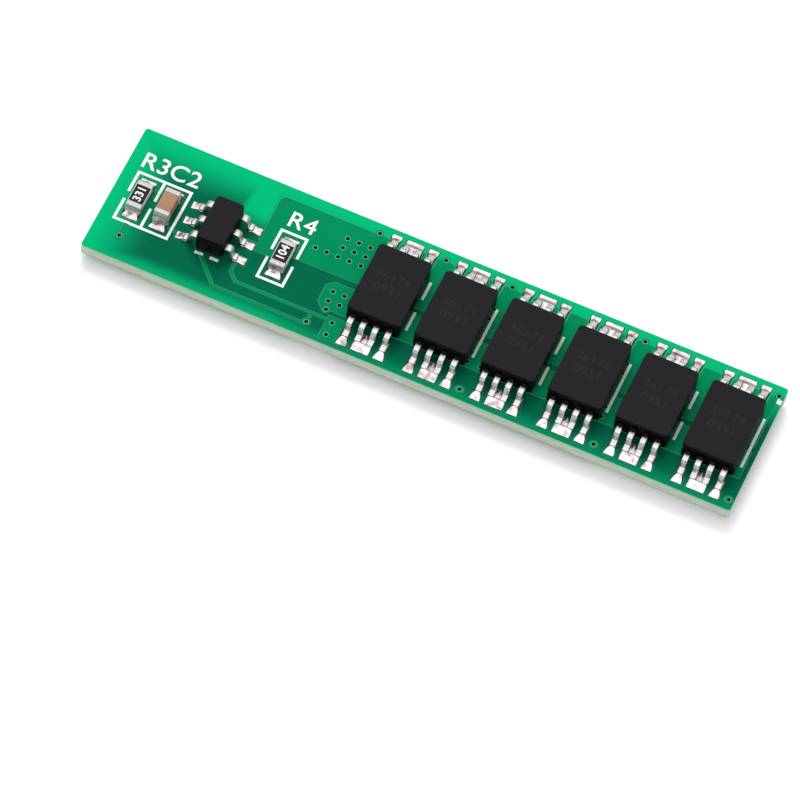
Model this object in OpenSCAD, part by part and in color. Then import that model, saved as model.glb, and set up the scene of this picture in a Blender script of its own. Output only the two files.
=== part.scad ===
// Battery management board: a narrow two-sided circuit board with six dual
// MOSFETs, a protection controller, three chip parts and two welding tabs.
// X runs along the board, Y across it and +Z is the component side.
// The origin is below the middle of the board, where its tabs stand.

/* [Board] */
// Length of the board
board_l = 34; // [33:0.5:42]
// Width of the board
board_w = 7.8; // [7.6:0.1:9]
// Thickness of the board over both solder masks
board_t = 0.7; // [0.5:0.05:1.6]
// Radius of the board's routed corners
board_corner_r = 0.15; // [0.05:0.05:0.25]
// Thickness of each copper layer
copper_t = 0.035; // [0.02:0.005:0.07]
// Thickness of the solder mask
mask_t = 0.02; // [0.015:0.005:0.03]
// Thickness of the white printed legend
legend_t = 0.015; // [0.01:0.005:0.02]

/* [Conductors] */
// Bare rim left between the copper and the board's edge
edge_gap = 0.3; // [0.2:0.05:0.4]
// Distance from the board's left end to the upper pours
pour_start = 7.6; // [7.4:0.1:8]
// Bare strip behind the pours, along the board's rear side
pour_back = 0.7; // [0.5:0.05:0.9]
// Length from the right end of the lower copper that joins the negative tab
minus_area_l = 7.3; // [7:0.1:7.6]
// Distance of the lower gate trace from the board's front side
gate_edge = 0.5; // [0.45:0.05:0.6]
// Gap between two copper areas
copper_gap = 0.4; // [0.3:0.05:0.5]
// Gap between a pad and the copper round it
pad_gap = 0.12; // [0.1:0.01:0.15]
// Width of a signal trace
trace_w = 0.13; // [0.1:0.01:0.3]
// Width of the mask's opening round a pad, beyond the pad
mask_rim = 0.03; // [0.02:0.01:0.06]
// Distance from a conductor's side that its raised mask reaches
mask_side = 0.03; // [0.02:0.01:0.04]
// Radius of a plated via hole
via_r = 0.1; // [0.08:0.01:0.15]
// Thickness of the copper plated inside a via
plating_t = 0.025; // [0.015:0.005:0.03]
// Distance between neighbouring vias
via_pitch = 0.6; // [0.55:0.01:0.65]

/* [Legend] */
// Width of a printed line
legend_line = 0.14; // [0.1:0.01:0.18]
// Distance that a MOSFET's printed side line is tucked in under its body
line_tuck = 0.03; // [0:0.01:0.08]
// Distance from a chip part's side to the outside of its printed frame
frame_reach = 0.34; // [0.32:0.01:0.36]
// Opening left in the side of a printed frame
frame_opening = 0.48; // [0.3:0.02:0.6]
// Size along the board of the white field round the negative tab
field_l = 6.65; // [6.3:0.05:6.9]
// Size along the board of the white block beside the positive output
block_l = 2.3; // [1.8:0.1:2.5]
// Size along the board of the field's cut-out for a polarity mark
mark_l = 1.65; // [1.4:0.05:1.8]
// Size across the board of the field's cut-out for a polarity mark
mark_w = 1.8; // [1.4:0.05:2]

/* [MOSFET packages] */
// Number of MOSFETs in the row
fet_count = 6; // [3:1:6]
// Distance between neighbouring MOSFETs
fet_pitch = 3.5; // [3.3:0.05:3.6]
// Distance from the last MOSFET's middle to the board's end
fet_end = 1.97; // [1.9:0.01:2.5]
// Size of a MOSFET body along the board
fet_l = 3; // [2.7:0.05:3.1]
// Size of a MOSFET body across the board
fet_w = 4.4; // [4:0.05:4.6]
// Height of a MOSFET body
fet_h = 1; // [0.8:0.05:1.4]
// Distance across the tips of the two rows of leads
fet_span = 6.2; // [6:0.05:6.4]
// Distance between neighbouring leads
fet_lead_pitch = 0.65; // [0.6:0.01:0.68]
// Width of a MOSFET lead
fet_lead_w = 0.28; // [0.2:0.01:0.3]
// Thickness of a MOSFET lead
fet_lead_t = 0.127; // [0.1:0.001:0.15]
// Width of a single lead's pad at its outer end
fet_pad_w = 0.54; // [0.45:0.01:0.56]
// Width of a single lead's pad at its inner end
fet_pad_neck = 0.34; // [0.3:0.01:0.4]

/* [Controller package] */
// Place of the controller's middle from the board's left end
ic_x = 5.71; // [5.5:0.01:6]
// Distance from the board's middle line to the controller's middle, to the front
ic_front = 0.26; // [0.2:0.01:0.3]
// Size of the controller body along the board
ic_l = 1.66; // [1.5:0.01:1.7]
// Size of the controller body across the board
ic_w = 2.9; // [2.7:0.01:3]
// Height of the controller body
ic_h = 1; // [0.8:0.05:1.2]
// Distance across the tips of the controller's leads
ic_span = 2.8; // [2.7:0.01:2.9]
// Distance between neighbouring controller leads
ic_lead_pitch = 0.98; // [0.95:0.01:1.05]
// Width of a controller lead
ic_lead_w = 0.38; // [0.3:0.01:0.45]
// Thickness of a controller lead
ic_lead_t = 0.15; // [0.1:0.01:0.18]
// Length of pad from a controller lead's tip back under its heel
ic_heel_l = 0.3; // [0.25:0.01:0.5]
// Length of solder beyond a controller lead's tip
ic_toe_l = 0.45; // [0.3:0.01:0.5]

/* [Package form] */
// Clear height under the moulded bodies
standoff = 0.1; // [0.08:0.01:0.15]
// Draft of the moulded side walls, in degrees
draft = 12; // [5:1:14]
// Radius of the upright corners of a moulded body
mould_r = 0.2; // [0.05:0.01:0.25]
// Depth to which a lead is held in the moulding
lead_embed = 0.3; // [0.1:0.05:0.4]
// Inner radius of a lead's bends
bend_r = 0.1; // [0.06:0.01:0.12]
// Lean of a lead's leg from upright, in degrees
leg_lean = 8; // [2:1:12]

/* [Chip parts] */
// Length of a chip part, across the board
chip_l = 1.6; // [1.5:0.01:1.7]
// Width of a chip part, along the board
chip_w = 0.8; // [0.7:0.01:0.9]
// Height of a chip resistor
resistor_h = 0.45; // [0.35:0.01:0.6]
// Height of the chip capacitor
capacitor_h = 0.8; // [0.6:0.01:0.9]
// Length of a chip's metal end
chip_end_l = 0.28; // [0.2:0.01:0.35]
// Thickness of the metal on a chip's ends
chip_plate_t = 0.02; // [0.015:0.001:0.03]
// Place of the first resistor from the board's left end
resistor_1_x = 1.44; // [1.4:0.01:1.5]
// Place of the capacitor from the board's left end
capacitor_x = 2.89; // [2.85:0.01:2.95]
// Place of the second resistor from the board's left end
resistor_2_x = 9.03; // [8.9:0.01:9.1]

/* [Solder] */
// Thickness of the solder under a lead or a chip
joint_t = 0.02; // [0.01:0.005:0.03]
// Length of solder beyond a lead's tip
toe_l = 0.5; // [0.4:0.01:0.52]
// Length of pad from a lead's tip back under its heel
heel_l = 0.62; // [0.5:0.01:0.65]
// Length of solder beyond a chip's end
chip_toe_l = 0.46; // [0.35:0.01:0.5]
// Length of pad under a chip's end
chip_pad_in = 0.36; // [0.3:0.01:0.4]

/* [Welding tabs and outputs] */
// Thickness of a nickel welding tab
tab_t = 0.3; // [0.15:0.05:0.5]
// Radius of a tab's corners
tab_r = 0.35; // [0.1:0.05:0.5]
// Thickness of the solder between a tab and the board
tab_bed_t = 0.08; // [0.06:0.01:0.12]
// Width of the solder that shows round a tab
tab_rim = 0.14; // [0.05:0.01:0.2]
// Size of the negative tab along the board
minus_tab_l = 3; // [2.5:0.05:3.2]
// Size of the negative tab across the board
minus_tab_w = 4.2; // [3.5:0.05:4.6]
// Size of the positive tab along the board
plus_tab_l = 2.65; // [2.2:0.05:2.8]
// Size of the positive tab across the board
plus_tab_w = 4; // [3.5:0.05:4.4]
// Distance from each tab to its end of the board
tab_end = 0.6; // [0.45:0.05:0.8]
// Radius of the hole in the negative tab
minus_hole_r = 0.3; // [0.2:0.01:0.4]
// Radius of the hole in the positive tab
plus_hole_r = 0.25; // [0.2:0.01:0.35]
// Length of an output pad, over its round ends
output_l = 2.8; // [2.4:0.05:3]
// Width of an output pad
output_w = 2; // [1.6:0.05:2.1]
// Height of the solder dome on an output pad
output_dome_h = 0.18; // [0.1:0.01:0.2]

/* [Hidden] */
$fn = 48;
end_x = board_l / 2;
side_y = board_w / 2;
core_t = board_t - 2 * (copper_t + mask_t);
z_bed = tab_t;
z_copper_below = z_bed + tab_bed_t;
z_core = z_copper_below + copper_t;
z_core_top = z_core + core_t;
z_land = z_core_top + copper_t;
z_joint = z_land + joint_t;
control_y = -0.2;
ic_y = -ic_front;
fet_exit = standoff + fet_h / 2;
ic_exit = standoff + ic_h / 2;
fet_joined_pad_w = fet_lead_pitch + fet_lead_w;
fet_lead_tip = fet_span / 2;
ic_lead_tip = ic_span / 2;
ic_pad_w = ic_lead_w + 0.06;
chip_pad_w = chip_w + 0.04;
pour_top = side_y - pour_back;
gap_y = -0.15;
cut = 0.01;
weld = 0.005;

function left(d) = -end_x + d;
function right(d) = end_x - d;
function fet_x(i) = right(fet_end) - (fet_count - 1 - i) * fet_pitch;

// ---- Plan shapes -----------------------------------------------------------

// A rectangle between two corners, grown by g on every side
module area(x0, y0, x1, y1, g = 0) {
    translate([x0 - g, y0 - g]) square([x1 - x0 + 2 * g, y1 - y0 + 2 * g]);
}

module rounded_rect(l, w, r) {
    square([l - 2 * r, w], center = true);
    square([l, w - 2 * r], center = true);
    for (sx = [-1, 1], sy = [-1, 1])
        translate([sx * (l / 2 - r), sy * (w / 2 - r)]) circle(r);
}

module stadium(l, w) {
    square([l - w, w], center = true);
    for (s = [-1, 1]) translate([s * (l - w) / 2, 0]) circle(w / 2);
}

// A rectangle whose two left corners are cut off at 45 degrees
module clipped_area(x0, y0, x1, y1, clip, g = 0) {
    c = clip + g * (2 - sqrt(2));
    polygon([[x0 - g + c, y0 - g], [x1 + g, y0 - g], [x1 + g, y1 + g], [x0 - g + c, y1 + g],
             [x0 - g, y1 + g - c], [x0 - g, y0 - g + c]]);
}

// A conductor of one width that follows a list of points
module trace(points, w, g = 0) {
    half = w / 2 + g;
    for (i = [0 : len(points) - 2]) {
        run = points[i + 1] - points[i];
        translate(points[i]) rotate(atan2(run.y, run.x))
            translate([0, -half]) square([norm(run), 2 * half]);
    }
    for (p = points) translate(p) circle(half);
}

module board_outline() rounded_rect(board_l, board_w, board_corner_r);

// ---- Vias ------------------------------------------------------------------

function via_field(x, y, columns, rows = 1) =
    [for (i = [0 : columns - 1], j = [0 : rows - 1]) [x + i * via_pitch, y + j * via_pitch]];

via_land_r = via_r + 0.1;
gate_via_x = fet_x(0) - fet_pitch / 2 - 0.07;
gate_via_y = side_y - 0.6;
output_field_x = fet_x(0) - fet_l / 2 - 2.8;
island_field_x = fet_x(0) - fet_l / 2 - 1;

// Vias hidden under a MOSFET end just short of the gap to its neighbour
function hidden_field_x(i, columns) = fet_x(i) + fet_l / 2 - via_r - (columns - 1) * via_pitch;

VIAS = concat(
    [[left(1.45), 1.33 - side_y]],
    [for (k = [0, 1, 2, 4, fet_count]) [gate_via_x + k * fet_pitch, gate_via_y]],
    [for (k = [0, 2, 4, fet_count]) [gate_via_x + k * fet_pitch, -gate_via_y - 0.05]],
    [[gate_via_x, -gate_via_y + 0.7], [gate_via_x - 1.15, 0.8 - side_y]],
    via_field(output_field_x, 1.1, 8),
    via_field(output_field_x + 2 * via_pitch, 1.1 + via_pitch, 6),
    via_field(output_field_x + 2 * via_pitch, 1.1 + 2 * via_pitch, 3),
    via_field(island_field_x, -1.5, 5, 2),
    [[island_field_x + 0.1, -2.0]],
    via_field(hidden_field_x(1, 3), 1.1, 3, 2),
    via_field(hidden_field_x(1, 3), -1.7, 3, 2),
    via_field(fet_x(2) - fet_l / 2 + via_r, 1.1, 3, 2),
    via_field(fet_x(2) - fet_l / 2 + via_r, -1.7, 3, 2),
    fet_count > 3 ? via_field(hidden_field_x(3, 5), 1.1, 5, 2) : [],
    fet_count > 3 ? via_field(hidden_field_x(3, 4), -1.7, 4, 2) : []
);

module vias(r) for (p = VIAS) translate(p) circle(r, $fn = 24);

module via_holes(r, z0, z1) {
    for (p = VIAS) translate([p.x, p.y, z0 - cut]) cylinder(r = r, h = z1 - z0 + 2 * cut, $fn = 24);
}

// ---- Pads ------------------------------------------------------------------

// The pad of a single lead widens from its inner end to its outer end
module single_pad(inner, outer, g) {
    polygon([[-fet_pad_neck / 2 - g, inner - g], [fet_pad_neck / 2 + g, inner - g],
             [fet_pad_w / 2 + g, outer + g], [-fet_pad_w / 2 - g, outer + g]]);
}

module fet_pads(g, only_single = false) {
    inner = fet_lead_tip - heel_l;
    outer = fet_lead_tip + toe_l;
    for (i = [0 : fet_count - 1], s = [-1, 1]) translate([fet_x(i), 0]) scale([1, s]) {
        for (k = [-1, 1]) translate([k * 1.5 * fet_lead_pitch, 0])
            single_pad(inner, outer, g);
        if (!only_single) area(-fet_joined_pad_w / 2, inner, fet_joined_pad_w / 2, outer, g);
    }
}

module ic_pads(g) {
    for (s = [-1, 1], k = [-1 : 1]) translate([left(ic_x), ic_y + k * ic_lead_pitch])
        scale([s, 1])
            area(ic_lead_tip - ic_heel_l, -ic_pad_w / 2, ic_lead_tip + ic_toe_l, ic_pad_w / 2, g);
}

module chip_pads(x, g) {
    for (s = [-1, 1]) translate([left(x), control_y]) scale([1, s])
        area(-chip_pad_w / 2, chip_l / 2 - chip_pad_in, chip_pad_w / 2, chip_l / 2 + chip_toe_l, g);
}

module top_pads(g) {
    fet_pads(g);
    ic_pads(g);
    for (x = [resistor_1_x, capacitor_x, resistor_2_x]) chip_pads(x, g);
}

minus_tab_x = right(tab_end + minus_tab_l / 2);
plus_tab_x = left(tab_end + plus_tab_l / 2);
plus_tab_y = 0.3;
output_x = fet_x(0) - fet_pitch - 1.4;
output_plus_x = output_x - 0.2;
output_minus_y = side_y - output_w / 2 - 0.35;
output_plus_y = output_w / 2 + 0.9 - side_y;

module bottom_pads(g) {
    translate([minus_tab_x, 0])
        rounded_rect(minus_tab_l + 2 * (tab_rim + g), minus_tab_w + 2 * (tab_rim + g), tab_r + tab_rim + g);
    translate([plus_tab_x, plus_tab_y])
        rounded_rect(plus_tab_l + 2 * (tab_rim + g), plus_tab_w + 2 * (tab_rim + g), tab_r + tab_rim + g);
    translate([output_x, output_minus_y]) stadium(output_l + 2 * g, output_w + 2 * g);
    translate([output_plus_x, output_plus_y]) stadium(output_l + 2 * g, output_w + 2 * g);
}

// ---- Copper ----------------------------------------------------------------

// Component side, grown by g: pours under the MOSFETs, islands and traces
module top_copper(g = 0) {
    pour_left = left(pour_start);
    pour_right = right(edge_gap);
    island_x = fet_x(0) - 2.95;
    sense_y = 1.4 - side_y;
    gate_y = 0.68 - side_y;
    difference() {
        union() {
            clipped_area(pour_left, gap_y + copper_gap / 2, pour_right, pour_top, 0.2, g);
            clipped_area(island_x, -2, pour_right, gap_y - copper_gap / 2, 0.3, g);
        }
        fet_pads(pad_gap - g, only_single = true);
    }
    area(left(ic_x) + ic_lead_tip, ic_y - 0.15, left(resistor_2_x) - 0.45, gap_y + copper_gap / 2, g);
    area(gate_via_x - 0.3, -gate_via_y - 0.35, fet_x(0) - 1.4 * fet_lead_pitch, -gate_via_y + 1.05, g);
    trace([[left(ic_x) - 0.3, sense_y + 0.7], [left(ic_x) + 0.95, gate_y],
           [island_x, gate_y], [island_x, sense_y]], trace_w, g);
    trace([[left(ic_x) + ic_lead_tip, ic_y - ic_lead_pitch], [left(ic_x) + ic_lead_tip, sense_y + 0.45],
           [left(ic_x) + ic_lead_tip + 0.45, sense_y], [gate_via_x, sense_y]], trace_w, g);
    trace([[left(capacitor_x), control_y - chip_l / 2], [left(ic_x) - ic_lead_tip, ic_y - ic_lead_pitch]],
          trace_w, g);
    trace([[left(resistor_1_x), control_y + chip_l / 2], [left(capacitor_x), control_y + chip_l / 2]],
          trace_w, g);
    trace([[left(1.45), 1.33 - side_y], [left(resistor_1_x), control_y - chip_l / 2]], trace_w, g);
    top_pads(g);
    vias(via_land_r + g);
}

// Reverse side: two wide pours, the outputs' and tabs' areas and two gate traces
module bottom_copper(g = 0) {
    source_left = output_plus_x + output_l / 2 + 0.6;
    plus_right = output_plus_x + output_l / 2 + 0.2;
    edge_y = side_y - edge_gap;
    area(source_left, -edge_y + 0.75, right(edge_gap), gap_y - copper_gap / 2, g);
    area(right(minus_area_l), -edge_y, right(edge_gap), edge_y, g);
    area(output_x - output_l / 2 - 0.3, gap_y + copper_gap / 2, right(minus_area_l), pour_top, g);
    area(left(edge_gap), -edge_y, plus_right, gap_y - copper_gap / 2, g);
    area(left(edge_gap), -edge_y, output_x - output_l / 2 - 0.3 - copper_gap, edge_y, g);
    trace([[source_left, gate_edge - side_y], [right(minus_area_l) - copper_gap, gate_edge - side_y]],
          trace_w, g);
    trace([[output_x + output_l / 2 + 0.5, gate_via_y], [right(minus_area_l), gate_via_y]], trace_w, g);
    bottom_pads(g);
    vias(via_land_r + g);
}

module laminate() {
    color("#D2D8C0") difference() {
        translate([0, 0, z_core]) linear_extrude(core_t) board_outline();
        via_holes(via_r + plating_t, z_core, z_core_top);
    }
}

// The upper copper carries the plated barrels down through the laminate
module copper_top() {
    color("#C98A5A") difference() {
        union() {
            translate([0, 0, z_core_top]) linear_extrude(copper_t) top_copper();
            for (p = VIAS) translate([p.x, p.y, z_core])
                cylinder(r = via_r + plating_t, h = core_t, $fn = 24);
        }
        via_holes(via_r, z_core, z_land);
    }
}

module copper_bottom() {
    color("#C98A5A") difference() {
        translate([0, 0, z_copper_below]) linear_extrude(copper_t) bottom_copper();
        via_holes(via_r, z_copper_below, z_core);
    }
}

// The mask lies on the bare laminate and steps up over the conductors
module mask_top() {
    color("#008F5A") difference() {
        union() {
            translate([0, 0, z_core_top]) linear_extrude(mask_t) board_outline();
            translate([0, 0, z_core_top]) linear_extrude(copper_t + mask_t) intersection() {
                top_copper(mask_side);
                board_outline();
            }
        }
        translate([0, 0, z_core_top - cut]) linear_extrude(copper_t + cut) top_copper();
        translate([0, 0, z_core_top - cut]) linear_extrude(copper_t + mask_t + 2 * cut) top_pads(mask_rim);
        via_holes(via_r, z_core_top, z_land + mask_t);
    }
}

module mask_bottom() {
    color("#008F5A") difference() {
        union() {
            translate([0, 0, z_core - mask_t]) linear_extrude(mask_t) board_outline();
            translate([0, 0, z_copper_below - mask_t]) linear_extrude(copper_t + mask_t) intersection() {
                bottom_copper(mask_side);
                board_outline();
            }
        }
        translate([0, 0, z_copper_below]) linear_extrude(copper_t + cut) bottom_copper();
        translate([0, 0, z_copper_below - mask_t - cut]) linear_extrude(copper_t + mask_t + 2 * cut)
            bottom_pads(mask_rim);
        via_holes(via_r, z_copper_below - mask_t, z_core);
    }
}

// ---- Printed legend --------------------------------------------------------

// A printed frame round a chip part, open in the middle of its marked sides
module legend_frame(x0, y0, x1, y1, open_left, open_right) {
    gap = frame_opening / 2;
    middle = (y0 + y1) / 2;
    difference() {
        area(x0, y0, x1, y1);
        area(x0, y0, x1, y1, -legend_line);
        if (open_left) area(x0 - cut, middle - gap, x0 + legend_line + cut, middle + gap);
        if (open_right) area(x1 - legend_line - cut, middle - gap, x1 + cut, middle + gap);
    }
}

module legend_top_plan() {
    half = chip_l / 2 + chip_toe_l + 0.32;
    reach = chip_w / 2 + frame_reach;
    low = control_y - half;
    high = control_y + half;
    divider = left((resistor_1_x + capacitor_x) / 2) - legend_line / 2;
    legend_frame(left(resistor_1_x) - reach, low, divider + legend_line, high, true, true);
    legend_frame(divider, low, left(capacitor_x) + reach, high, true, false);
    legend_frame(left(resistor_2_x) - reach, low, left(resistor_2_x) + reach, high, true, true);
    for (s = [-1, 1]) translate([left(ic_x) + s * 0.4, ic_y - ic_w / 2])
        area(-0.23, -0.14, 0.23, 0.02);
    for (i = [0 : fet_count - 1]) {
        x = fet_x(i) + fet_l / 2 - line_tuck;
        if (i % 2 == 0) {
            area(x, -1.38, x + legend_line, -0.2);
            area(x, 0.62, x + legend_line, 1.74);
        } else {
            area(x, -1.38, x + legend_line, 1.74);
        }
    }
    area(right(0.28), 2.85, right(0.05), 3.12);
}

// Two white fields, the larger one cut out round the negative tab and its mark
module legend_bottom_plan() {
    rim = 0.12;
    clip = 0.4;
    field_right = right(0.45);
    field_left = field_right - field_l;
    tab_side = right(tab_end + minus_tab_l + 0.75);
    low = -minus_tab_w / 2 - tab_rim - mask_rim;
    high = minus_tab_w / 2 + 0.35;
    mark_left = tab_side - mark_l;
    mark_low = -mark_w + 0.2;
    mark_high = mark_low + mark_w;
    block_x = output_plus_x + output_l / 2 + 0.2;
    difference() {
        area(field_left, rim - side_y, field_right, side_y - rim);
        polygon([[field_right + cut, low], [tab_side, low], [tab_side - clip, mark_low],
                 [mark_left + clip, mark_low], [mark_left, mark_low + clip],
                 [mark_left, mark_high - clip], [mark_left + clip, mark_high],
                 [tab_side - clip, mark_high], [tab_side, mark_high + clip],
                 [tab_side, high], [field_right + cut, high]]);
        bottom_pads(mask_rim);
    }
    area(block_x, rim - side_y, block_x + block_l, -0.05);
}

// The ink follows the step of the mask below it
module legend_top() {
    color("#EEF5F2") difference() {
        union() {
            translate([0, 0, z_core_top]) linear_extrude(mask_t + legend_t) legend_top_plan();
            translate([0, 0, z_core_top]) linear_extrude(copper_t + mask_t + legend_t) intersection() {
                legend_top_plan();
                top_copper(mask_side + legend_t);
            }
        }
        mask_top();
        translate([0, 0, z_core_top - cut]) linear_extrude(copper_t + cut) top_copper();
        via_holes(via_r, z_core_top, z_land + mask_t - cut);
    }
}

module legend_bottom() {
    color("#E6E9F1") difference() {
        union() {
            translate([0, 0, z_core - mask_t - legend_t]) linear_extrude(mask_t + legend_t)
                legend_bottom_plan();
            translate([0, 0, z_copper_below - mask_t - legend_t]) linear_extrude(copper_t + mask_t + legend_t)
                intersection() {
                    legend_bottom_plan();
                    bottom_copper(mask_side + legend_t);
                }
        }
        mask_bottom();
        translate([0, 0, z_copper_below]) linear_extrude(copper_t + cut) bottom_copper();
        via_holes(via_r, z_copper_below - mask_t + cut, z_core);
    }
}

// ---- Moulded packages ------------------------------------------------------

// The side view of a moulding: both halves taper away from the parting line
module mould_section(l, h) {
    d = h / 2 * tan(draft);
    polygon([[-l / 2 + d, 0], [-l / 2, h / 2], [-l / 2 + d, h],
             [l / 2 - d, h], [l / 2, h / 2], [l / 2 - d, 0]]);
}

module moulding(l, w, h) {
    intersection() {
        linear_extrude(h) rounded_rect(l, w, mould_r);
        rotate([90, 0, 0]) translate([0, 0, -w / 2]) linear_extrude(w) mould_section(l, h);
        rotate([90, 0, 90]) translate([0, 0, -l / 2]) linear_extrude(l) mould_section(w, h);
    }
}

// A ring sector between two angles
module bend(r, t, from, to) {
    reach = 2 * (r + t);
    middle = (from + to) / 2;
    intersection() {
        difference() {
            circle(r + t);
            circle(r);
        }
        polygon([[0, 0], reach * [cos(from), sin(from)],
                 1.6 * reach * [cos(middle), sin(middle)], reach * [cos(to), sin(to)]]);
    }
}

// The side view of a gull-wing lead, from inside the moulding at x < 0 to the
// tip of its foot at x = reach, with its middle line at y = 0 where it leaves
module gull_wing(t, drop, reach, shoulder) {
    turn = 90 - leg_lean;
    middle_r = bend_r + t / 2;
    leg = (drop - 2 * middle_r * (1 - cos(turn))) / sin(turn);
    knee = [shoulder + middle_r * sin(turn), -middle_r * (1 - cos(turn))];
    ankle = knee + leg * [cos(turn), -sin(turn)];
    heel = ankle + middle_r * [sin(turn), cos(turn)];
    translate([-lead_embed, -t / 2]) square([lead_embed + shoulder + weld, t]);
    translate([shoulder, -middle_r]) bend(bend_r, t, leg_lean, 90);
    translate(knee) rotate(-turn) translate([-weld, -t / 2]) square([leg + 2 * weld, t]);
    translate(heel) bend(bend_r, t, 180 + leg_lean, 270);
    translate([heel.x - weld, -drop - t / 2]) square([reach - heel.x + weld, t]);
}

// One lead that runs out along +Y from the body's face
module lead(w, t, exit, reach, shoulder) {
    translate([-w / 2, 0, exit]) rotate([90, 0, 90]) linear_extrude(w)
        gull_wing(t, exit - joint_t - t / 2, reach, shoulder);
}

// The slot that the moulding leaves for a lead
module lead_slot(w, t, exit) {
    translate([-w / 2, -lead_embed, exit - t / 2]) cube([w, lead_embed + cut, t]);
}

module fet_lead_places() {
    for (s = [0, 180], k = [-1.5 : 1.5]) rotate(s) translate([k * fet_lead_pitch, fet_w / 2]) children();
}

module ic_lead_places() {
    for (s = [-90, 90], k = [-1 : 1]) rotate(s) translate([k * ic_lead_pitch, ic_l / 2]) children();
}

module mosfet(i) {
    color("#2B2B2E") translate([fet_x(i), 0, z_land]) difference() {
        translate([0, 0, standoff]) moulding(fet_l, fet_w, fet_h);
        fet_lead_places() lead_slot(fet_lead_w, fet_lead_t, fet_exit);
    }
}

module mosfet_leads(i) {
    color("#D9D9DC") translate([fet_x(i), 0, z_land]) fet_lead_places()
        lead(fet_lead_w, fet_lead_t, fet_exit, fet_lead_tip - fet_w / 2, 0.28);
}

module controller() {
    color("#2E2B2D") translate([left(ic_x), ic_y, z_land]) difference() {
        translate([0, 0, standoff]) moulding(ic_l, ic_w, ic_h);
        ic_lead_places() lead_slot(ic_lead_w, ic_lead_t, ic_exit);
    }
}

module controller_leads() {
    color("#D9D9DC") translate([left(ic_x), ic_y, z_land]) ic_lead_places()
        lead(ic_lead_w, ic_lead_t, ic_exit, ic_lead_tip - ic_l / 2, 0.08);
}

// ---- Chip parts ------------------------------------------------------------

module chip_place(x) translate([left(x), control_y, z_joint]) children();

module block(l, w, h, z = 0) translate([-w / 2, -l / 2, z]) cube([w, l, h]);

// A resistor's ceramic body, inside the metal wrapped round its two ends
module resistor_body(x) {
    color("#E9E6DF") chip_place(x)
        block(chip_l - 2 * chip_plate_t, chip_w, resistor_h - 2 * chip_plate_t, chip_plate_t);
}

module resistor_coat(x) {
    color("#1C1B1D") chip_place(x)
        block(chip_l - 2 * chip_end_l, chip_w - 0.06, chip_plate_t, resistor_h - chip_plate_t);
}

module resistor_ends(x) {
    color("#D5D3D2") chip_place(x) for (s = [0, 180]) rotate(s) difference() {
        translate([-chip_w / 2, chip_l / 2 - chip_end_l, 0]) cube([chip_w, chip_end_l, resistor_h]);
        translate([-chip_w / 2 - cut, 0, chip_plate_t])
            cube([chip_w + 2 * cut, chip_l / 2 - chip_plate_t, resistor_h - 2 * chip_plate_t]);
    }
}

module capacitor_body() {
    color("#B08B73") chip_place(capacitor_x)
        block(chip_l - 2 * chip_plate_t, chip_w - 2 * chip_plate_t, capacitor_h - 2 * chip_plate_t, chip_plate_t);
}

// Each end of the capacitor is a metal cap with five walls
module capacitor_ends() {
    color("#D5D3D2") chip_place(capacitor_x) for (s = [0, 180]) rotate(s) difference() {
        translate([-chip_w / 2, chip_l / 2 - chip_end_l, 0]) cube([chip_w, chip_end_l, capacitor_h]);
        translate([-chip_w / 2 + chip_plate_t, 0, chip_plate_t])
            cube([chip_w - 2 * chip_plate_t, chip_l / 2 - chip_plate_t, capacitor_h - 2 * chip_plate_t]);
    }
}

// ---- Solder ----------------------------------------------------------------

// The side view of a hollow solder slope, h high at x = 0 and l long
module meniscus(l, h) {
    chord = norm([l, h]);
    sag = 0.1 * chord;
    r = chord * chord / (8 * sag) + sag / 2;
    middle = [l, h] / 2;
    out = [h, l] / chord;
    difference() {
        polygon([[0, 0], [l, 0], [0, h]]);
        translate(middle + (r - sag) * out) circle(r, $fn = 96);
    }
}

// The film under one foot and the slope from its tip to the pad's edge
module lead_joint(pad_w, inner, tip, outer, h) {
    translate([-pad_w / 2, inner, 0]) cube([pad_w, outer - inner, joint_t]);
    translate([-pad_w / 2, tip, joint_t]) rotate([90, 0, 90]) linear_extrude(pad_w)
        meniscus(outer - tip, h);
}

module solder_mosfets() {
    color("#DAD7D8") translate([0, 0, z_land])
        for (i = [0 : fet_count - 1], s = [0, 180]) translate([fet_x(i), 0, 0]) rotate(s) {
            for (k = [-1, 1]) translate([k * 1.5 * fet_lead_pitch, 0]) intersection() {
                lead_joint(fet_pad_w, fet_lead_tip - heel_l, fet_lead_tip, fet_lead_tip + toe_l, fet_lead_t);
                linear_extrude(fet_h) single_pad(fet_lead_tip - heel_l, fet_lead_tip + toe_l, 0);
            }
            lead_joint(fet_joined_pad_w, fet_lead_tip - heel_l, fet_lead_tip, fet_lead_tip + toe_l, fet_lead_t);
        }
}

module solder_controller() {
    color("#DAD7D8") translate([left(ic_x), ic_y, z_land])
        for (s = [-90, 90], k = [-1 : 1]) rotate(s) translate([k * ic_lead_pitch, 0])
            lead_joint(ic_pad_w, ic_lead_tip - ic_heel_l, ic_lead_tip, ic_lead_tip + ic_toe_l, ic_lead_t);
}

module solder_chips() {
    color("#CFCBCA") translate([0, 0, z_land])
        for (chip = [[resistor_1_x, resistor_h], [capacitor_x, capacitor_h], [resistor_2_x, resistor_h]],
             s = [0, 180])
            translate([left(chip[0]), control_y, 0]) rotate(s)
                lead_joint(chip_pad_w, chip_l / 2 - chip_pad_in, chip_l / 2, chip_l / 2 + chip_toe_l,
                           0.7 * chip[1]);
}

module solder_tabs() {
    color("#D8D4D1") translate([0, 0, z_bed]) linear_extrude(tab_bed_t) {
        translate([minus_tab_x, 0])
            rounded_rect(minus_tab_l + 2 * tab_rim, minus_tab_w + 2 * tab_rim, tab_r + tab_rim);
        translate([plus_tab_x, plus_tab_y])
            rounded_rect(plus_tab_l + 2 * tab_rim, plus_tab_w + 2 * tab_rim, tab_r + tab_rim);
    }
}

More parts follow.
